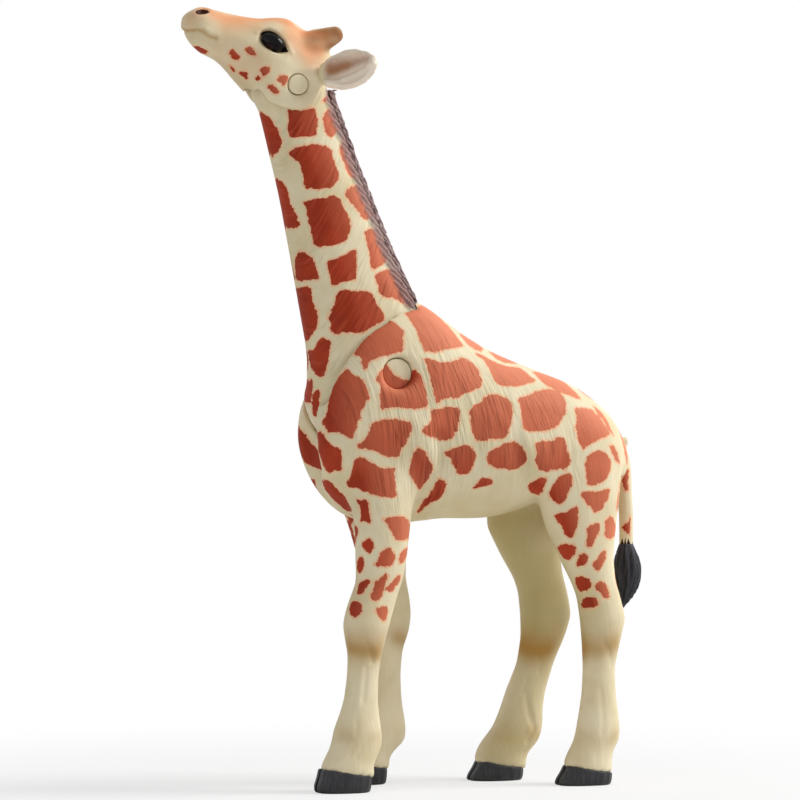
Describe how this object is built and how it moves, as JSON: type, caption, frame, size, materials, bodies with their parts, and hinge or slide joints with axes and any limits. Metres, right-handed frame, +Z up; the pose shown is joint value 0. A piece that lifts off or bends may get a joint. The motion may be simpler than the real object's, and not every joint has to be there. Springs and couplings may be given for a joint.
{
  "type": "toy giraffe figure",
  "caption": "Small moulded toy giraffe standing on its hooves, with a neck that tilts at the shoulder and a head that nods on the neck.",
  "frame": {"origin": "under the middle of the figure's bounding box, on the plane that the hooves stand on", "axes": "+Z up, -X towards the nose, -Y towards the animal's left side"},
  "size_m": [0.0802, 0.0268, 0.1276],
  "materials": {
    "coat": "cream with painted brick-red patches, satin",
    "hoof": "charcoal paint, satin",
    "tuft": "black paint, satin",
    "pin": "cream, satin",
    "mane": "dark brown paint, matt",
    "ear": "cream with a pinkish grey inside, matt",
    "eye": "glossy black"
  },
  "bodies": {
    "trunk": {"body_left": "coat", "body_right": "coat", "hoof_front_left": "hoof", "hoof_front_right": "hoof", "hoof_hind_left": "hoof", "hoof_hind_right": "hoof", "tail": "coat", "tail_tuft": "tuft", "neck_pin": "pin"},
    "neck": {"neck": "coat", "mane": "mane"},
    "head": {"head": "coat", "head_pin": "pin", "ear_left": "ear", "ear_right": "ear", "eye_left": "eye", "eye_right": "eye"}
  },
  "joints": [
    {"name": "neck_tilt", "type": "hinge", "parent": "trunk", "child": "neck", "pos_m": [-0.00597, 0, 0.06812], "axis": [0, -1, 0], "range_deg": [0, 24]},
    {"name": "head_nod", "type": "hinge", "parent": "neck", "child": "head", "pos_m": [-0.02199, 0, 0.11516], "axis": [0, -1, 0], "range_deg": [-6, 45]}
  ]
}
